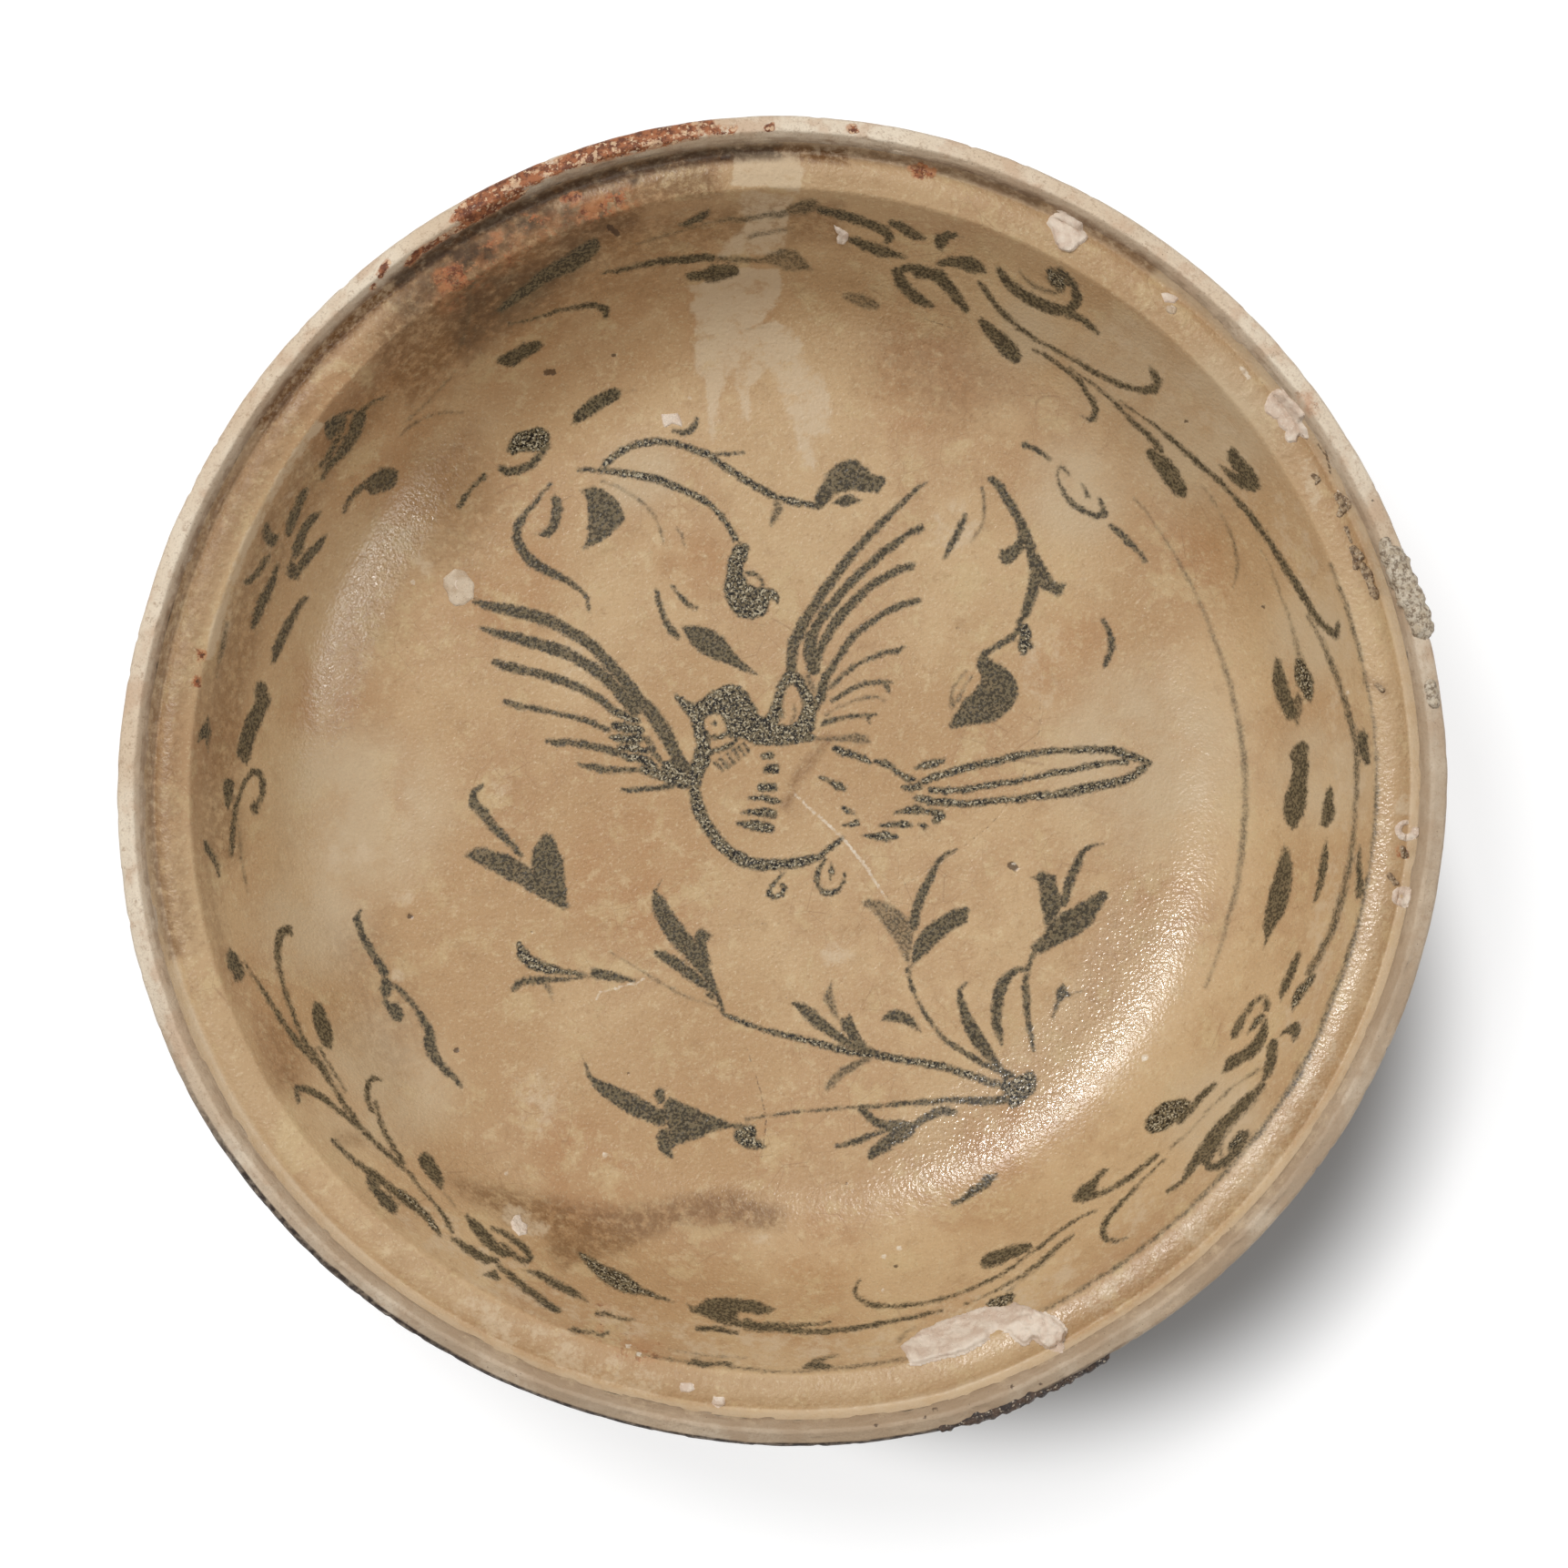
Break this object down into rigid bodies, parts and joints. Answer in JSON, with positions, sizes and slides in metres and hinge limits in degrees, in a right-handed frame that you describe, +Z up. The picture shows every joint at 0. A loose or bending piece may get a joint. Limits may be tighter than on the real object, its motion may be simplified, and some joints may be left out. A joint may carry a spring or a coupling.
{
  "type": "ceramic bowl",
  "caption": "Wide shallow stoneware bowl with a bare raised lip, a guttered flange, sloping walls, a broad floor and a turned foot ring, glazed inside and out, with sea crusts.",
  "frame": {"origin": "centre of the circle that the foot ring stands on", "axes": "+Z up along the bowl's axis of turning, +X and +Y across the rim"},
  "size_m": [0.3498, 0.3496, 0.0822],
  "materials": {
    "fired_clay": "matte, fine grained, unglazed",
    "inner_glaze": "soft satin, pitted, painted under the glaze",
    "outer_glaze": "soft satin, uneven",
    "lime": "matte, chalky",
    "sea_crust": "rough, granular",
    "kiln_crust": "rough, slaggy"
  },
  "bodies": {
    "root": {"clay_body": "fired_clay", "inner_glaze": "inner_glaze", "outer_glaze": "outer_glaze", "lime_south_patch": "lime", "lime_east_patch": "lime", "lime_northeast_patch": "lime", "lime_flecks": "lime", "barnacle_scars": "lime", "gutter_crust": "sea_crust", "rim_concretion": "sea_crust", "rim_nodule": "sea_crust", "kiln_crust": "kiln_crust"}
  },
  "joints": []
}
